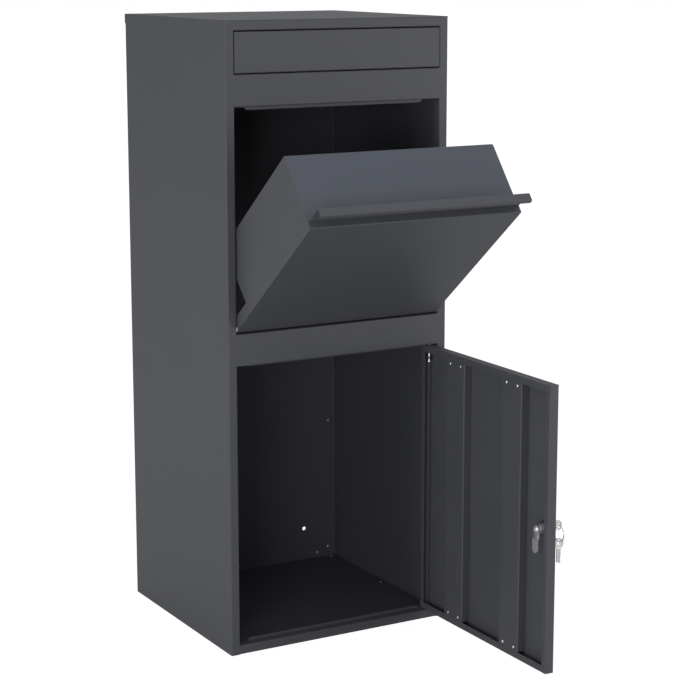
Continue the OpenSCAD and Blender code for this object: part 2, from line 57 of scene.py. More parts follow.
SAME_POINT = 0.001 * MM
SAME_CORNER = 0.01 * MM


# ---------------------------------------------------------------- node graphs
class Value:
    """A socket of a node graph that adds Math nodes when it is used in arithmetic."""

    def __init__(self, graph: "Graph", socket: bpy.types.NodeSocket | None) -> None:
        """Wraps a socket.

        Args:
            graph: The graph that new nodes go to.
            socket: The socket, or None for a node without outputs.
        """
        self.graph = graph
        self.socket = socket

    def _math(self, operation: str, *operands: Any) -> "Value":
        """The result of one Math node on the operands."""
        return self.graph.add("ShaderNodeMath", {"operation": operation}, dict(enumerate(operands)))

    def __add__(self, other: Any) -> "Value":
        """This value plus another."""
        return self._math("ADD", self, other)

    def __radd__(self, other: Any) -> "Value":
        """A number plus this value."""
        return self._math("ADD", other, self)

    def __mul__(self, other: Any) -> "Value":
        """This value times another."""
        return self._math("MULTIPLY", self, other)

    def __rmul__(self, other: Any) -> "Value":
        """A number times this value."""
        return self._math("MULTIPLY", other, self)

    def between(self, low: float, high: float) -> "Value":
        """This value limited to the span from low to high."""
        return self._math("MINIMUM", self._math("MAXIMUM", self, low), high)


class Graph:
    """A shader or geometry node graph and the one way that this script adds nodes to it."""

    def __init__(self, tree: bpy.types.NodeTree) -> None:
        """Keeps the tree that nodes are added to."""
        self.tree = tree

    @classmethod
    def blank(cls, owner: bpy.types.Material | bpy.types.World) -> "Graph":
        """The emptied node graph of a material or world.

        Args:
            owner: The material or world.

        Returns:
            Its graph.
        """
        owner.use_nodes = True
        owner.node_tree.nodes.clear()
        return cls(owner.node_tree)

    def add(self, kind: str, settings: dict[str, Any] | None = None,
            inputs: dict[Any, Any] | None = None, out: int | str = 0) -> Value:
        """Adds a node.

        Args:
            kind: The node's type, such as "ShaderNodeMath".
            settings: The node's own properties.
            inputs: What feeds each input socket, by name or number: a Value or a constant.
            out: The output socket to return, by name or number.

        Returns:
            The chosen output.
        """
        node = self.tree.nodes.new(kind)
        for name, setting in (settings or {}).items():
            setattr(node, name, setting)
        for key, what in (inputs or {}).items():
            if isinstance(what, Value):
                self.tree.links.new(what.socket, node.inputs[key])
            else:
                node.inputs[key].default_value = what
        return Value(self, node.outputs[out] if len(node.outputs) else None)


# ---------------------------------------------------------------- finishes
Colour = tuple[float, float, float]


def rgba(colour: Colour) -> tuple[float, float, float, float]:
    """A colour with full opacity."""
    return (*colour, 1.0)


class Finish:
    """A procedural material read on Object coordinates. Each kind of finish fills in `shade`."""

    name: str

    def material(self) -> bpy.types.Material:
        """The Blender material of this finish, made the first time it is asked for.

        Returns:
            The material.
        """
        found = bpy.data.materials.get(self.name)
        if found:
            return found
        made = bpy.data.materials.new(self.name)
        graph = Graph.blank(made)
        place = graph.add("ShaderNodeTexCoord", out="Object")
        surface = self.shade(graph, place)
        graph.add("ShaderNodeOutputMaterial", inputs={"Surface": surface})
        return made

    def shade(self, graph: Graph, place: Value) -> Value:
        """Adds this finish's nodes.

        Args:
            graph: The material's graph.
            place: Object coordinates, in metres.

        Returns:
            The surface shader.
        """
        raise NotImplementedError

    @staticmethod
    def noise(graph: Graph, place: Value, grain: float, detail: float = 2.0,
              roughness: float = 0.55) -> Value:
        """Noise from 0 to 1 whose spots are about `grain` metres across."""
        return graph.add("ShaderNodeTexNoise", {"noise_dimensions": "3D"}, {
            "Vector": place, "Scale": 1.0 / grain, "Detail": detail, "Roughness": roughness})

    @staticmethod
    def mix(graph: Graph, factor: Value, first: Colour, second: Colour) -> Value:
        """The colour between first and second at factor."""
        return graph.add("ShaderNodeMix", {"data_type": "RGBA"},
                         {0: factor, 6: rgba(first), 7: rgba(second)}, out=2)

    @staticmethod
    def bumped(graph: Graph, height: Value, depth: float) -> Value:
        """The surface normal over a relief of the given depth in metres."""
        return graph.add("ShaderNodeBump", inputs={"Strength": 1.0, "Distance": depth, "Height": height},
                         out="Normal")


@dataclass(frozen=True)
class PowderCoat(Finish):
    """Satin powder coat: a fine pebbled skin with slow drifts of tone and gloss.

    `speck_share` of the tone is fine specks and the rest slow drift. `gloss_drift` and
    `gloss_pebble` say how much each roughens the surface, and `speck_relief` how high specks stand.
    """

    name: str
    deep: Colour
    pale: Colour
    roughness: float = 0.5
    specular: float = 0.3
    pebble: float = 1.6 * MM
    pebble_depth: float = 0.05 * MM
    speck: float = 0.5 * MM
    drift: float = 160 * MM
    speck_share: float = 0.3
    speck_relief: float = 0.25
    gloss_drift: float = 0.06
    gloss_pebble: float = 0.05

    def shade(self, graph: Graph, place: Value) -> Value:
        """Adds the powder coat's nodes.

        Args:
            graph: The material's graph.
            place: Object coordinates, in metres.

        Returns:
            The surface shader.
        """
        drift = self.noise(graph, place, self.drift, 3.0)
        speck = self.noise(graph, place, self.speck, 1.0)
        pebbles = self.noise(graph, place, self.pebble, 2.0)
        tone = (drift * (1 - self.speck_share) + speck * self.speck_share).between(0.0, 1.0)
        gloss = (self.roughness - self.gloss_pebble + drift * self.gloss_drift
                 + pebbles * self.gloss_pebble)
        relief = pebbles + speck * self.speck_relief
        return graph.add("ShaderNodeBsdfPrincipled", inputs={
            "Base Color": self.mix(graph, tone, self.deep, self.pale),
            "Roughness": gloss.between(0.05, 1.0),
            "Specular IOR Level": self.specular,
            "Normal": self.bumped(graph, relief, self.pebble_depth)})


@dataclass(frozen=True)
class PlatedSteel(Finish):
    """Zinc, nickel or chrome plate: metal with faint cloudiness and fine handling scratches."""

    name: str
    dull: Colour
    bright: Colour
    roughness: float
    cloud: float = 6 * MM
    scratch: float = 0.25 * MM
    scratch_depth: float = 0.004 * MM
    gloss_cloud: float = 0.08
    gloss_scratch: float = 0.05
    scratch_turn: tuple[float, float, float] = (0.4, 0.9, 0.3)
    scratch_stretch: tuple[float, float, float] = (1.0, 0.06, 1.0)

    def shade(self, graph: Graph, place: Value) -> Value:
        """Adds the plate's nodes.

        Args:
            graph: The material's graph.
            place: Object coordinates, in metres.

        Returns:
            The surface shader.
        """
        cloud = self.noise(graph, place, self.cloud, 3.0)
        stretched = graph.add("ShaderNodeMapping", inputs={
            "Vector": place, "Rotation": self.scratch_turn, "Scale": self.scratch_stretch})
        scratches = self.noise(graph, stretched, self.scratch, 1.0)
        gloss = self.roughness + cloud * self.gloss_cloud + scratches * self.gloss_scratch
        return graph.add("ShaderNodeBsdfPrincipled", inputs={
            "Base Color": self.mix(graph, cloud, self.dull, self.bright),
            "Metallic": 1.0,
            "Roughness": gloss.between(0.03, 1.0),
            "Normal": self.bumped(graph, scratches, self.scratch_depth)})


@dataclass(frozen=True)
class MouldedNylon(Finish):
    """Black nylon with a soft sheen and a faint mould grain."""

    name: str
    shade_low: Colour = (0.018, 0.018, 0.019)
    shade_high: Colour = (0.030, 0.030, 0.032)
    roughness: float = 0.42
    grain: float = 0.8 * MM
    grain_depth: float = 0.02 * MM
    gloss_grain: float = 0.12

    def shade(self, graph: Graph, place: Value) -> Value:
        """Adds the nylon's nodes.

        Args:
            graph: The material's graph.
            place: Object coordinates, in metres.

        Returns:
            The surface shader.
        """
        grain = self.noise(graph, place, self.grain, 2.0)
        return graph.add("ShaderNodeBsdfPrincipled", inputs={
            "Base Color": self.mix(graph, grain, self.shade_low, self.shade_high),
            "Roughness": (self.roughness + grain * self.gloss_grain).between(0.0, 1.0),
            "Normal": self.bumped(graph, grain, self.grain_depth)})


class Paint(Enum):
    """The finishes of this box."""

    CABINET = PowderCoat("cabinet_powder_coat", (0.0445, 0.0460, 0.0525), (0.0550, 0.0565, 0.0640))
    HOPPER = PowderCoat("hopper_powder_coat", (0.0445, 0.0462, 0.0530), (0.0550, 0.0568, 0.0650))
    # Painted light: the hopper paint made lighter and bluer, so the top plate looks lit from above.
    HOPPER_TOP_LIT = PowderCoat("hopper_top_painted_light_coat", (0.047, 0.053, 0.067), (0.057, 0.064, 0.080))
    DOOR = PowderCoat("door_powder_coat", (0.0445, 0.0460, 0.0525), (0.0550, 0.0565, 0.0640))
    ZINC = PlatedSteel("bright_zinc_plate", (0.58, 0.59, 0.61), (0.78, 0.79, 0.81), 0.26)
    NICKEL = PlatedSteel("key_nickel_plate", (0.60, 0.59, 0.57), (0.82, 0.81, 0.79), 0.2)
    BRASS = PlatedSteel("lock_plug_brass", (0.55, 0.47, 0.30), (0.74, 0.66, 0.47), 0.24)
    CAM = PlatedSteel("cam_zinc_plate", (0.46, 0.46, 0.50), (0.62, 0.62, 0.66), 0.4)
    STEEL = PlatedSteel("lock_body_steel", (0.16, 0.16, 0.17), (0.26, 0.26, 0.27), 0.36)
    BLACK = PlatedSteel("nut_blackened_steel", (0.05, 0.05, 0.055), (0.09, 0.09, 0.095), 0.42)
    NYLON = MouldedNylon("washer_nylon")

    @property
    def material(self) -> bpy.types.Material:
        """The Blender material of this finish."""
        return self.value.material()


# ---------------------------------------------------------------- dressing what the model gives
def dress(node: str, paint: Paint) -> None:
    """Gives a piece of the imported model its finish.

    Args:
        node: The piece's name.
        paint: The finish.
    """
    piece = frame["nodes"][node]
    piece.data.materials.clear()
    piece.data.materials.append(paint.material)
    log.info("%s: %s", node, paint.name)


def body_of(node: str) -> str:
    """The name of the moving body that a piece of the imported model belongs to."""
    bodies = frame["record"]["behaviour"]["bodies"]
    return next(body for body, members in bodies.items() if node in members)


def joint_place(joint: str) -> list[float]:
    """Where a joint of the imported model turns, in millimetres."""
    joints = frame["record"]["behaviour"]["joints"]
    return [c / MM for c in next(each["pos_m"] for each in joints if each["name"] == joint)]


def stand_in(piece: bpy.types.Object, node: str) -> None:
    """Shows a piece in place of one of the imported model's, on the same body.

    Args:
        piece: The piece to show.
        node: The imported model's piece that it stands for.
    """
    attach(piece, body_of(node))
    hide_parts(node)
    log.info("%s stands for %s: %d faces", piece.name, node, len(piece.data.polygons))


def linked(name: str, data: bpy.types.ID) -> bpy.types.Object:
    """A new object of the scene.

    Args:
        name: Its name.
        data: Its mesh, light or camera.

    Returns:
        The object.
    """
    made = bpy.data.objects.new(name, data)
    bpy.context.scene.collection.objects.link(made)
    return made


def new_piece(name: str, shape: bmesh.types.BMesh, paint: Paint,
              smooth_below: float = 35.0) -> bpy.types.Object:
    """Turns a mesh under construction into a piece.

    Args:
        name: The piece's name.
        shape: The finished mesh, which this frees.
        paint: Its finish.
        smooth_below: Edges that turn by less than this many degrees are shaded smooth.

    Returns:
        The piece, linked to the scene.
    """
    bmesh.ops.remove_doubles(shape, verts=shape.verts, dist=SAME_POINT)
    bmesh.ops.recalc_face_normals(shape, faces=shape.faces)
    mesh = bpy.data.meshes.new(name)
    shape.to_mesh(mesh)
    shape.free()
    piece = linked(name, mesh)
    mesh.materials.append(paint.material)
    mesh.shade_smooth()
    mesh.set_sharp_from_angle(angle=math.radians(smooth_below))
    return piece


def applied(piece: bpy.types.Object) -> bpy.types.Object:
    """Turns a piece's live modifiers into plain mesh and removes them.

    Args:
        piece: The piece.

    Returns:
        The same piece.
    """
    graph = bpy.context.evaluated_depsgraph_get()
    baked = bpy.data.meshes.new_from_object(piece.evaluated_get(graph))
    piece.modifiers.clear()
    old, piece.data = piece.data, baked
    baked.name = piece.name
    bpy.data.meshes.remove(old)
    return piece


def rounded(piece: bpy.types.Object, width: float, segments: int,
            sharper_than: float) -> bpy.types.Object:
    """Rounds a piece's sharp edges.

    Args:
        piece: The piece.
        width: How far each rounding reaches from its edge, in metres.
        segments: How many steps a rounding has.
        sharper_than: Only edges that turn by more than this many degrees are rounded.

    Returns:
        The piece, as plain mesh.
    """
    bevel = piece.modifiers.new("edges", "BEVEL")
    bevel.width = width
    bevel.segments = segments
    bevel.limit_method = "ANGLE"
    bevel.angle_limit = math.radians(sharper_than)
    return applied(piece)


def softened(name: str, node: str, width: float, paint: Paint) -> bpy.types.Object:
    """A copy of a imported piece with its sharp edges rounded.

    Args:
        name: The new piece's name.
        node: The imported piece.
        width: How far each rounding reaches from its edge, in metres.
        paint: The finish.

    Returns:
        The new piece.
    """
    shape = bmesh.new()
    shape.from_mesh(frame["nodes"][node].data)
    bmesh.ops.remove_doubles(shape, verts=shape.verts, dist=SAME_CORNER)
    bmesh.ops.dissolve_limit(shape, angle_limit=math.radians(1.0), verts=shape.verts, edges=shape.edges)
    return rounded(new_piece(name, shape, paint), width, segments=3, sharper_than=30.0)


def cut(piece: bpy.types.Object, cutters: Sequence[bmesh.types.BMesh]) -> bpy.types.Object:
    """Takes solids out of a piece.

    Args:
        piece: The piece to cut.
        cutters: The solids, which this frees.

    Returns:
        The piece, as plain mesh.
    """
    tools = [new_piece(f"{piece.name}_cutter", shape, Paint.ZINC) for shape in cutters]
    for tool in tools:
        modifier = piece.modifiers.new("cut", "BOOLEAN")
        modifier.operation = "DIFFERENCE"
        modifier.solver = "EXACT"
        modifier.object = tool
    applied(piece)
    for tool in tools:
        mesh = tool.data
        bpy.data.objects.remove(tool)
        bpy.data.meshes.remove(mesh)
    return piece


def loft(rings: Sequence[Sequence[Vector]], closed: bool = False) -> bmesh.types.BMesh:
    """A skin over rings of equal point count.

    Args:
        rings: The rings in order.
        closed: Whether the last ring joins the first. If not, the two ends get caps.

    Returns:
        The mesh.
    """
    shape = bmesh.new()
    rows = [[shape.verts.new(point) for point in ring] for ring in rings]
    pairs = list(zip(rows, rows[1:] + rows[:1])) if closed else list(zip(rows, rows[1:]))
    for low, high in pairs:
        for i in range(len(low)):
            j = (i + 1) % len(low)
            shape.faces.new((low[i], low[j], high[j], high[i]))
    if not closed:
        shape.faces.new(rows[0][::-1])
        shape.faces.new(rows[-1])
    return shape


def around(steps: int) -> list[float]:
    """The angles of equal steps round a full turn, in radians."""
    return [2 * math.pi * i / steps for i in range(steps)]


def turned(profile: Sequence[tuple[float, float]], sides: int,
           closed: bool = False) -> bmesh.types.BMesh:
    """A turned shape about Z.

    Args:
        profile: Points (radius, height) along the outline.
        sides: How many steps go round.
        closed: Whether the outline closes on itself, as a ring's does.

    Returns:
        The mesh.
    """
    rings = [[Vector((radius * math.cos(a), radius * math.sin(a), height)) for a in around(sides)]
             for radius, height in profile]
    return loft(rings, closed)


# ---------------------------------------------------------------- rivets
@dataclass
class RivetMaker:
    """Blind rivets: a domed head, a shank through the sheets and a low tail behind them.

    The shank's radius is `shank_share` of the tail's.
    """

    head_radius: float = 2.8 * MM
    head_height: float = 1.3 * MM
    tail_radius: float = 2.32 * MM
    tail_height: float = 0.8 * MM
    shank_share: float = 0.69
    grip: float = 2.0 * MM
    sides: int = 28
    rings: int = 12

    def solids(self, node: str) -> list[tuple[Vector, Vector]]:
        """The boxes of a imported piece's separate solids.

        Args:
            node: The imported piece.

        Returns:
            The lowest and highest corner of each.
        """
        shape = bmesh.new()
        shape.from_mesh(frame["nodes"][node].data)
        bmesh.ops.remove_doubles(shape, verts=shape.verts, dist=SAME_CORNER)
        left, boxes = set(shape.verts), []
        while left:
            reached = [left.pop()]
            members = list(reached)
            while reached:
                for edge in reached.pop().link_edges:
                    for vert in edge.verts:
                        if vert in left:
                            left.discard(vert)
                            reached.append(vert)
                            members.append(vert)
            low = Vector(min(v.co[i] for v in members) for i in range(3))
            high = Vector(max(v.co[i] for v in members) for i in range(3))
            boxes.append((low, high))
        shape.free()
        return sorted(boxes, key=lambda box: tuple(round(c, 4) for c in box[0]))

    def seats(self, node: str, outward: Vector) -> list[Vector]:
        """Where each rivet's head meets the sheet.

        Args:
            node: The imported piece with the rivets' places.
            outward: The way the heads face.

        Returns:
            A place for each rivet, in metres.
        """
        places = []
        for low, high in self.solids(node):
            middle = (low + high) / 2
            reach = abs((high - low).dot(outward)) / 2
            places.append(middle + outward * (reach - self.head_height))
        return places

    def tree(self) -> bpy.types.NodeTree:
        """Builds the node tree that sets a rivet on every point of a mesh.

        Returns:
            The tree.
        """
        tree = bpy.data.node_groups.new("rivet_setter", "GeometryNodeTree")
        face = tree.interface
        face.new_socket("Seats", in_out="INPUT", socket_type="NodeSocketGeometry")
        for name in ("Head Radius", "Head Height", "Tail Radius", "Tail Height", "Grip"):
            face.new_socket(name, in_out="INPUT", socket_type="NodeSocketFloat")
        face.new_socket("Outward", in_out="INPUT", socket_type="NodeSocketVector")
        face.new_socket("Finish", in_out="INPUT", socket_type="NodeSocketMaterial")
        face.new_socket("Rivets", in_out="OUTPUT", socket_type="NodeSocketGeometry")
        graph = Graph(tree)
        given = tree.nodes.new("NodeGroupInput")
        sizes = {socket.name: Value(graph, socket) for socket in given.outputs if socket.name}
        head = self._dome(graph, sizes["Head Radius"], sizes["Head Height"])
        tail = self._dome(graph, sizes["Tail Radius"], sizes["Tail Height"])
        below = graph.add("ShaderNodeCombineXYZ", inputs={"Z": sizes["Grip"] * -1.0})
        tail = graph.add("GeometryNodeTransform", inputs={
            "Geometry": tail, "Translation": below, "Rotation": (math.pi, 0.0, 0.0)})
        shank = graph.add("GeometryNodeMeshCylinder", inputs={
            "Vertices": self.sides, "Radius": sizes["Tail Radius"] * self.shank_share,
            "Depth": sizes["Grip"]})
        half = graph.add("ShaderNodeCombineXYZ", inputs={"Z": sizes["Grip"] * -0.5})
        shank = graph.add("GeometryNodeTransform", inputs={"Geometry": shank, "Translation": half})
        rivet = graph.add("GeometryNodeJoinGeometry")
        for part in (head, tail, shank):
            tree.links.new(part.socket, rivet.socket.node.inputs[0])
        turn = graph.add("FunctionNodeAlignRotationToVector", {"axis": "Z"},
                         {"Vector": sizes["Outward"]})
        placed = graph.add("GeometryNodeInstanceOnPoints", inputs={
            "Points": sizes["Seats"], "Instance": rivet, "Rotation": turn})
        solid = graph.add("GeometryNodeRealizeInstances", inputs={"Geometry": placed})
        painted = graph.add("GeometryNodeSetMaterial", inputs={
            "Geometry": solid, "Material": sizes["Finish"]})
        smooth = graph.add("GeometryNodeSetShadeSmooth", inputs={"Geometry": painted})
        graph.add("NodeGroupOutput", inputs={"Rivets": smooth})
        return tree

    def _dome(self, graph: Graph, radius: Value, height: Value) -> Value:
        """Adds a closed dome that stands on z = 0: a ball with its lower half pressed flat.

        Args:
            graph: The graph to add it to.
            radius: The dome's radius.
            height: How high it stands.

        Returns:
            Its geometry.
        """
        ball = graph.add("GeometryNodeMeshUVSphere", inputs={
            "Segments": self.sides, "Rings": self.rings, "Radius": 1.0})
        here = graph.add("GeometryNodeInputPosition")
        parts = graph.add("ShaderNodeSeparateXYZ", inputs={"Vector": here})
        x, y, z = (Value(graph, socket) for socket in parts.socket.node.outputs)
        flat = graph.add("ShaderNodeCombineXYZ", inputs={
            "X": x * radius, "Y": y * radius, "Z": z.between(0.0, 1.0) * height})
        return graph.add("GeometryNodeSetPosition", inputs={"Geometry": ball, "Position": flat})

    def set_rivets(self, name: str, node: str, outward: Vector, paint: Paint) -> bpy.types.Object:
        """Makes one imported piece's rivets.

        Args:
            name: The new piece's name.
            node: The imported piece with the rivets' places.
            outward: The way the heads face.
            paint: Their finish.

        Returns:
            The rivets as one piece.
        """
        mesh = bpy.data.meshes.new(name)
        mesh.from_pydata([tuple(seat) for seat in self.seats(node, outward)], [], [])
        piece = linked(name, mesh)
        tree = bpy.data.node_groups.get("rivet_setter") or self.tree()
        modifier = piece.modifiers.new("rivets", "NODES")
        modifier.node_group = tree
        sizes = {"Head Radius": self.head_radius, "Head Height": self.head_height,
                 "Tail Radius": self.tail_radius, "Tail Height": self.tail_height,
                 "Grip": self.grip, "Outward": tuple(outward), "Finish": paint.material}
        for item in tree.interface.items_tree:
            if item.in_out == "INPUT" and item.name in sizes:
                modifier[item.identifier] = sizes[item.name]
        applied(piece)
        piece.data.materials.clear()
        piece.data.materials.append(paint.material)
        stand_in(piece, node)
        return piece


# ---------------------------------------------------------------- sub-assemblies
@dataclass
class Cabinet:
    """The folded carcass: side, top, back and floor panels, rails and letter chute. Millimetres.

    The front opening is `half_opening` wide to each side. `seams` gives the span in height of each
    welded joint between a rail's end and a side panel's flange, whose corner has radius `corner`.
    """

    painted: tuple[str, ...] = (
        "side_panel_left", "side_panel_right", "top_panel", "back_panel", "floor_panel", "floor_beam",
        "base_rail", "lower_rail", "upper_rail", "letter_chute", "letter_flap")
    half_opening: float = 187.0
    front: float = -190.0
    corner: float = 2.0
    corner_steps: int = 8
    seams: tuple[tuple[float, float], ...] = (
        (1.2, 13.8), (479.2, 528.8), (888.2, 935.8), (1005.2, 1018.5))
    rivets: RivetMaker = field(default_factory=RivetMaker)

    def build(self) -> None:
        """Dresses the carcass, fills its welded seams and sets its rivets."""
        for node in self.painted:
            dress(node, Paint.CABINET)
        dress("letter_flap_rod", Paint.CABINET)
        dress("hopper_pins", Paint.BLACK)
        dress("hopper_washers", Paint.NYLON)
        self.fill_seams()
        self.rivets.set_rivets("back_rivets", "back_rivet_set", Vector((0, -1, 0)), Paint.ZINC)
        self.rivets.set_rivets("floor_rivets", "floor_rivet_set", Vector((0, 0, 1)), Paint.ZINC)

    def fill_seams(self) -> None:
        """Fills the groove where each rail's end meets a side panel's rounded flange."""
        reach, shape = self.corner, bmesh.new()
        middle = Vector((self.half_opening + reach, self.front + reach))
        turns = [math.pi / 2 * i / self.corner_steps for i in range(self.corner_steps + 1)]
        edge = [Vector((self.half_opening, self.front))]
        edge += [middle + Vector((-math.sin(a), -math.cos(a))) * reach for a in turns]
        for side in (-1, 1):
            for low, high in self.seams:
                rows = [[shape.verts.new(Vector((side * p.x, p.y, z)) * MM) for p in edge]
                        for z in (low, high)]
                for i in range(len(edge)):
                    j = (i + 1) % len(edge)
                    shape.faces.new((rows[0][i], rows[0][j], rows[1][j], rows[1][i]))
                shape.faces.new(rows[0][::-1])
                shape.faces.new(rows[1])
        welds = new_piece("seam_welds", shape, Paint.CABINET)
        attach(welds, "cabinet")


@dataclass
class Hopper:
    """The tilting hopper: front panel with its grip, and the bucket behind it."""

    painted: tuple[str, ...] = (
        "hopper_front", "hopper_grip", "hopper_side_left", "hopper_side_right", "hopper_floor")

    def build(self) -> None:
        """Dresses the hopper. Its top plate gets a lighter, bluer copy of the paint: painted light for
        the sky on its upward face.
        """
        for node in self.painted:
            dress(node, Paint.HOPPER)
        dress("hopper_top", Paint.HOPPER_TOP_LIT)


@dataclass
class Door:
    """The door pan with its stiffeners, rivets and pivot pins."""

    painted: tuple[str, ...] = (
        "door_panel", "door_stiffener_hinge", "door_stiffener_lock", "door_pin_bracket")
    plated: tuple[str, ...] = ("door_pin_top", "door_pin_bottom")
    rivets: RivetMaker = field(default_factory=RivetMaker)

    def build(self) -> None:
        """Dresses the door and sets its rivets."""
        for node in self.painted:
            dress(node, Paint.DOOR)
        for node in self.plated:
            dress(node, Paint.ZINC)
        self.rivets.set_rivets("door_rivets", "door_rivet_set", Vector((-1, 0, 0)), Paint.ZINC)


@dataclass
class KeyShape:
    """A flat key in the plane x = 0: its bow's middle on Z, its blade pointing down. Millimetres.

    `tip_bevel` and `tip_chip` say how far in and how far up the tip's two corners are cut.
    `notches` gives each notch's depth, from the bow down. A notch's outline leaves the blade's edge,
    meets its own floor and ends at the heights `notch_rise` above its place.
    `dish` is the shallow round recess in each side of the bow, `rim` wide of the bow's edge.
    """

    thick: float = 2.0
    bow_radius: float = 8.8
    bow_height: float = 17.5
    bow_steps: int = 60
    rim: float = 2.0
    dish: float = 0.25
    hole_radius: float = 2.6
    hole_height: float = 21.0
    hole_steps: int = 40
    half_blade: float = 3.7
    tip: float = -14.0
    tip_bevel: tuple[float, float] = (2.4, 2.2)
    tip_chip: tuple[float, float] = (1.6, 0.9)
    notches: tuple[float, ...] = (1.3, 0.6, 1.7, 0.9, 1.5, 0.7)
    notch_pitch: float = 2.0
    notch_rise: tuple[float, float, float] = (0.5, -0.4, -0.9)
    groove_depth: float = 0.5
    groove_width: float = 1.3
    groove_starts: tuple[float, float] = (0.4, -0.6)
    groove_top: float = 8.0
    past: float = 1.0
    edge_round: float = 0.18

    def outline(self) -> list[tuple[float, float]]:
        """The key's edge, anticlockwise from the tip.

        Returns:
            Points (y, z).
        """
        side, (leave, floor, end) = self.half_blade, self.notch_rise
        edge = [(-side + self.tip_chip[0], self.tip), (side - self.tip_bevel[0], self.tip),
                (side, self.tip + self.tip_bevel[1])]
        neck = math.asin(side / self.bow_radius)
        sweep = 2 * math.pi - 2 * neck
        turns = [neck + sweep * i / self.bow_steps for i in range(self.bow_steps + 1)]
        edge += [(self.bow_radius * math.sin(a), self.bow_height - self.bow_radius * math.cos(a))
                 for a in turns]
        for i, depth in enumerate(reversed(self.notches)):
            place = self.tip + self.notch_pitch * (len(self.notches) - i)
            edge += [(-side, place + leave), (-side + depth, place + floor),
                     (-side + depth, place + end)]
        return edge + [(-side, self.tip + self.tip_chip[1])]

    @staticmethod
    def prism(place: Matrix, outline: Sequence[tuple[float, float]], low: float,
              high: float) -> bmesh.types.BMesh:
        """A straight-sided solid across the key.

        Args:
            place: Where the key is.
            outline: The solid's outline as points (y, z).
            low: The x of its first end.
            high: The x of its second end.

        Returns:
            The mesh, in metres.
        """
        return loft([[place @ Vector((x, y, z)) * MM for y, z in outline] for x in (low, high)])

    def plate(self, place: Matrix) -> bmesh.types.BMesh:
        """The blank: the outline drawn out to the key's thickness, moved by `place`."""
        return self.prism(place, self.outline(), -self.thick / 2, self.thick / 2)

    def disc(self, radius: float, height: float) -> list[tuple[float, float]]:
        """A circle round (0, height) as points (y, z)."""
        return [(radius * math.cos(a), height + radius * math.sin(a)) for a in around(self.hole_steps)]

    def groove(self, start: float) -> list[tuple[float, float]]:
        """The groove that begins at y = start, as points (y, z)."""
        low, end = self.tip - self.past, start + self.groove_width
        return [(start, low), (end, low), (end, self.groove_top), (start, self.groove_top)]

    def cutters(self, place: Matrix) -> list[bmesh.types.BMesh]:
        """What is taken out of the blank: the bow's hole and dishes, and a groove in each face.

        Args:
            place: Where the key is.

        Returns:
            A solid for each cut.
        """
        out, half = self.thick, self.thick / 2
        hole = self.disc(self.hole_radius, self.hole_height)
        dish = self.disc(self.bow_radius - self.rim, self.bow_height)
        right, left = (self.groove(start) for start in self.groove_starts)
        return [self.prism(place, hole, -out, out),
                self.prism(place, dish, half - self.dish, out),
                self.prism(place, dish, -out, self.dish - half),
                self.prism(place, right, half - self.groove_depth, out),
                self.prism(place, left, -out, self.groove_depth - half)]


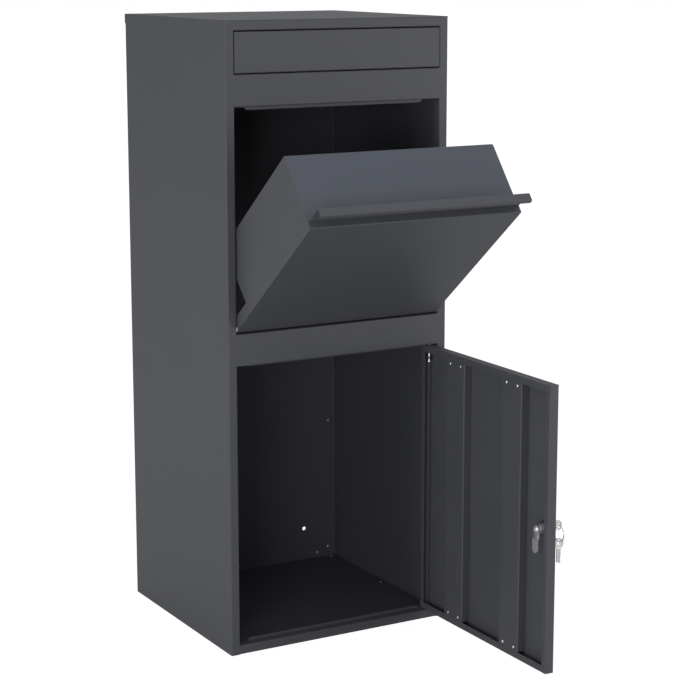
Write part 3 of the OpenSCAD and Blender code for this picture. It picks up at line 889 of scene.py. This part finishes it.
@dataclass
class Lock:
    """The cam lock in the door and its keys. Sizes in millimetres, in the lock's own frame.

    The frame's +Z runs out of the door's face along the lock's axis and its +Y points up. Heights
    are measured from the door's face. `bezel_bevel` and `mouth_bevel` give (inset, height) where
    the bezel's round edge and the rim of the keyway's mouth change slope. `nut_face` is the radius
    of the nut's washer face over that of its flats, `screw_rim` the share of the screw head's
    height that stands straight, and `cross_taper` the width of the cross at its floor and above
    the head. `ring_cross` is where along the wire, and over how much of it, it changes turn.
    """

    sides: int = 72
    barrel_radius: float = 9.0
    barrel_length: float = 20.0
    barrel_chamfer: float = 0.8
    bore_radius: float = 6.05
    thread_pitch: float = 1.0
    thread_depth: float = 0.55
    thread_rise: float = 0.4
    thread_flat: float = 0.2
    relief: float = 0.3
    bezel_radius: float = 11.0
    bezel_height: float = 2.0
    bezel_side: float = 0.9
    bezel_bevel: tuple[float, float] = (0.35, 1.55)
    bezel_round: float = 1.1
    mouth_rim: float = 1.4
    mouth_bevel: tuple[float, float] = (0.9, 1.7)
    nut_radius: float = 12.78
    nut_low: float = -6.0
    nut_high: float = -1.0
    nut_chamfer: float = 0.9
    nut_face: float = 1.01
    screw_seat: float = -22.7
    screw_radius: float = 4.6
    screw_height: float = 2.4
    screw_sides: int = 48
    screw_rim: float = 0.45
    screw_shank: float = 2.0
    screw_length: float = 7.0
    screw_axis_gap: float = 0.01
    screw_dome: tuple[float, ...] = (15.0, 30.0, 45.0, 60.0, 75.0, 88.0)
    cross_half: tuple[float, float] = (2.9, 0.55)
    cross_depth: float = 1.5
    cross_taper: tuple[float, float] = (0.55, 1.05)
    cross_past: float = 0.5
    cam_round: float = 0.35
    ring_radius: float = 13.0
    ring_start: float = 115.0
    ring_steps: int = 288
    ring_lift: float = 0.38
    ring_cross: tuple[float, float] = (0.42, 0.16)
    wire_half: tuple[float, float] = (0.7, 0.36)
    wire_sides: int = 12
    key: KeyShape = field(default_factory=KeyShape)

    def build(self) -> None:
        """Makes the lock's turned and stamped pieces and dresses the rest."""
        dress("lock_plug", Paint.BRASS)
        stand_in(softened("cranked_cam", "lock_cam", self.cam_round * MM, Paint.CAM), "lock_cam")
        self.make_barrel()
        self.make_nut()
        self.make_screw()
        self.make_key("lock_key", "key", self.at)
        hung = (self.at @ Matrix.Translation((0, -2 * self.ring_radius, self.key.hole_height))
                @ Matrix.Rotation(-math.pi / 2, 4, "X")
                @ Matrix.Translation((0, 0, -self.key.hole_height)))
        self.make_key("hanging_key", "spare_key", hung)
        self.make_ring()

    @property
    def at(self) -> Matrix:
        """The lock's frame in the model's, in millimetres."""
        x, y, z = joint_place("lock_turn")
        return Matrix(((0, 0, 1, x), (1, 0, 0, y), (0, 1, 0, z), (0, 0, 0, 1)))

    def moved(self, shape: bmesh.types.BMesh) -> bmesh.types.BMesh:
        """Moves a shape from the lock's frame in millimetres to the model's in metres.

        Args:
            shape: The shape, which is changed.

        Returns:
            The same shape.
        """
        at = self.at
        for vert in shape.verts:
            vert.co = (at @ vert.co) * MM
        return shape

    def make_barrel(self) -> None:
        """Turns the barrel: a chamfered bezel, a threaded body and a plain bore."""
        bore, crest, rim = self.bore_radius, self.barrel_radius, self.bezel_radius
        low = -self.barrel_length
        profile = [(bore, low), (crest - self.barrel_chamfer, low)]
        for i in range(int(self.barrel_length - 1)):
            root = low + self.thread_rise + i * self.thread_pitch
            top = root + self.thread_rise
            profile += [(crest - self.thread_depth, root), (crest, top), (crest, top + self.thread_flat)]
        neck, (inset, shoulder), (mouth, seat) = crest - self.relief, self.bezel_bevel, self.mouth_bevel
        profile += [(neck, -self.thread_rise), (neck, 0.0), (rim, 0.0), (rim, self.bezel_side),
                    (rim - inset, shoulder), (rim - self.bezel_round, self.bezel_height),
                    (bore + self.mouth_rim, self.bezel_height), (bore + mouth, seat), (bore, seat)]
        shape = self.moved(turned(profile, self.sides, closed=True))
        stand_in(new_piece("threaded_barrel", shape, Paint.STEEL), "lock_barrel")

    def hexagon(self, height: float, limit: float) -> list[Vector]:
        """A hexagon across the nut's flats, cut back to a circle.

        Args:
            height: Its height.
            limit: The circle's radius.

        Returns:
            Its points.
        """
        flat, sixth, angles = self.nut_flat, math.pi / 3, around(self.sides)
        radii = (min(limit, flat / math.cos(a % sixth - sixth / 2)) for a in angles)
        return [Vector((r * math.cos(a), r * math.sin(a), height)) for r, a in zip(radii, angles)]

    @property
    def nut_flat(self) -> float:
        """Half of the nut's width across its flats."""
        return self.nut_radius * math.cos(math.pi / 6)

    def make_nut(self) -> None:
        """Makes the hexagon nut with chamfered corners."""
        low, high, face = self.nut_low, self.nut_high, self.nut_flat * self.nut_face
        levels = [(low, self.barrel_radius), (low, face), (low + self.nut_chamfer, self.nut_radius),
                  (high - self.nut_chamfer, self.nut_radius), (high, face), (high, self.barrel_radius)]
        shape = self.moved(loft([self.hexagon(*level) for level in levels], closed=True))
        stand_in(new_piece("hexagon_nut", shape, Paint.BLACK, smooth_below=25.0), "lock_nut")

    def make_screw(self) -> None:
        """Makes the cam's screw: a rounded head with a cross recess, and a plain shank."""
        seat, r, height, rim = self.screw_seat, self.screw_radius, self.screw_height, self.screw_rim
        end = seat + self.screw_length
        profile = [(self.screw_axis_gap, end), (self.screw_shank, end), (self.screw_shank, seat),
                   (r, seat), (r, seat - height * rim)]
        profile += [(r * math.cos(a), seat - height * (rim + (1 - rim) * math.sin(a)))
                    for a in map(math.radians, self.screw_dome)]
        screw = new_piece("cross_screw", self.moved(turned(profile, self.screw_sides)), Paint.ZINC)
        (deep, wide), top = self.cross_taper, seat - height
        arms = []
        for x, y in (self.cross_half, self.cross_half[::-1]):
            corners = ((-x, -y), (x, -y), (x, y), (-x, y))
            rings = [[Vector((cx * k, cy * k, z)) for cx, cy in corners]
                     for k, z in ((deep, top + self.cross_depth), (wide, top - self.cross_past))]
            arms.append(self.moved(loft(rings)))
        stand_in(cut(screw, arms), "cam_screw")

    def make_key(self, name: str, node: str, place: Matrix) -> None:
        """Makes a key with its bow's hole, its grooves and its softened edges.

        Args:
            name: The new piece's name.
            node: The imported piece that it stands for.
            place: Where the key is, in millimetres.
        """
        key = cut(new_piece(name, self.key.plate(place), Paint.NICKEL), self.key.cutters(place))
        stand_in(rounded(key, self.key.edge_round * MM, segments=2, sharper_than=40.0), node)

    def make_ring(self) -> None:
        """Winds the split ring: two turns of flattened wire side by side."""
        leave, crossing = self.ring_cross
        wide, tall = self.wire_half
        rings = []
        for i in range(self.ring_steps + 1):
            part = i / self.ring_steps
            a = math.radians(self.ring_start) + 4 * math.pi * part
            lift = self.ring_lift * (2 * min(1.0, max(0.0, (part - leave) / crossing)) - 1)
            way = Vector((math.cos(a), math.sin(a), 0.0))
            hub = Vector((0.0, -self.ring_radius, self.key.hole_height + lift))
            rings.append([hub + way * (self.ring_radius + wide * math.cos(b))
                          + Vector((0, 0, tall * math.sin(b))) for b in around(self.wire_sides)])
        ring = new_piece("split_ring", self.moved(loft(rings)), Paint.NICKEL, smooth_below=60.0)
        stand_in(ring, "key_ring")


# ---------------------------------------------------------------- studio
@dataclass(frozen=True)
class SoftBox:
    """A square area light that looks at the box's middle."""

    name: str
    place: tuple[float, float, float]
    size: float
    power: float
    aim: tuple[float, float, float] = (0.0, -0.1, 0.5)

    def build(self) -> None:
        """Adds the light."""
        data = bpy.data.lights.new(self.name, "AREA")
        data.shape = "SQUARE"
        data.size = self.size
        data.energy = self.power
        lamp = linked(self.name, data)
        lamp.location = self.place
        toward = Vector(self.aim) - Vector(self.place)
        lamp.rotation_euler = toward.to_track_quat("-Z", "Y").to_euler()


@dataclass
class Studio:
    """Pale floor, soft light and the camera.

    The floor glows by `floor_glow` and reflects `floor_shade` of its light where the camera sees it,
    and reflects `floor_bounce` onto the box. The sky's strength climbs by `sky_rise` from the
    horizon's `sky_low` to straight overhead.
    """

    sky_low: float = 0.02
    sky_rise: float = 1.48
    sky_tint: Colour = (0.97, 0.98, 1.0)
    boxes: tuple[SoftBox, ...] = (
        SoftBox("box_left", (-4.0, -0.6, 0.85), 1.6, 41.0),
        SoftBox("box_left_front", (-3.0, -3.6, 0.8), 1.5, 81.0),
        SoftBox("box_right_front", (3.2, -3.4, 0.8), 1.5, 54.0),
    )
    floor_size: float = 60.0
    floor_glow: float = 0.95
    floor_shade: float = 0.12
    floor_bounce: float = 0.62
    camera_place: tuple[float, float, float] = (-1.5318, -2.886, 1.1221)
    camera_yaw: float = 29.9
    camera_tilt: float = 10.76
    camera_lens: float = 100.08
    camera_sensor: float = 36.0
    camera_shift_up: float = -0.04

    def build(self) -> None:
        """Sets up the stage."""
        self.set_camera()
        self.lay_floor()
        self.light_up()
        view = bpy.context.scene.view_settings
        view.view_transform = "Standard"
        view.look = "None"

    def set_camera(self) -> None:
        """Stands the camera to the left of the open box, a little above its top."""
        data = bpy.data.cameras.new("camera")
        data.lens = self.camera_lens
        data.sensor_width = self.camera_sensor
        data.shift_y = self.camera_shift_up
        camera = linked("camera", data)
        camera.location = self.camera_place
        camera.rotation_euler = (
            math.radians(90 - self.camera_tilt), 0.0, -math.radians(self.camera_yaw))
        bpy.context.scene.camera = camera

    def lay_floor(self) -> None:
        """Lays a white floor that throws back less light than it seems to."""
        half = self.floor_size / 2
        corners = [(-half, -half, 0), (half, -half, 0), (half, half, 0), (-half, half, 0)]
        mesh = bpy.data.meshes.new("floor")
        mesh.from_pydata(corners, [], [(0, 1, 2, 3)])
        floor = linked("floor", mesh)
        material = bpy.data.materials.new("floor_white")
        graph = Graph.blank(material)
        seen = graph.add("ShaderNodeLightPath", out="Is Camera Ray")
        glow = graph.add("ShaderNodeEmission", inputs={
            "Color": rgba((1, 1, 1)), "Strength": self.floor_glow})
        white = graph.add("ShaderNodeBsdfDiffuse", inputs={"Color": rgba((self.floor_shade,) * 3)})
        grey = graph.add("ShaderNodeBsdfDiffuse", inputs={"Color": rgba((self.floor_bounce,) * 3)})
        bright = graph.add("ShaderNodeAddShader", inputs={0: glow, 1: white})
        surface = graph.add("ShaderNodeMixShader", inputs={0: seen, 1: grey, 2: bright})
        graph.add("ShaderNodeOutputMaterial", inputs={"Surface": surface})
        mesh.materials.append(material)

    def light_up(self) -> None:
        """Adds the sky and the soft boxes."""
        world = bpy.data.worlds.new("studio")
        bpy.context.scene.world = world
        graph = Graph.blank(world)
        way = graph.add("ShaderNodeTexCoord", out="Generated")
        height = graph.add("ShaderNodeSeparateXYZ", inputs={"Vector": way}, out="Z")
        strength = self.sky_low + height.between(0.0, 1.0) * self.sky_rise
        seen = graph.add("ShaderNodeLightPath", out="Is Camera Ray")
        lit = graph.add("ShaderNodeBackground", inputs={
            "Color": rgba(self.sky_tint), "Strength": strength})
        plain = graph.add("ShaderNodeBackground", inputs={"Color": rgba((1, 1, 1)), "Strength": 1.0})
        sky = graph.add("ShaderNodeMixShader", inputs={0: seen, 1: lit, 2: plain})
        graph.add("ShaderNodeOutputWorld", inputs={"Surface": sky})
        for box in self.boxes:
            box.build()


def main() -> None:
    """Builds the stage and each sub-assembly."""
    logging.basicConfig(level=logging.INFO, format="%(name)s: %(message)s")
    for assembly in (Studio(), Cabinet(), Hopper(), Door(), Lock()):
        assembly.build()
        log.info("built %s", type(assembly).__name__)


if __name__ == "__main__":
    main()
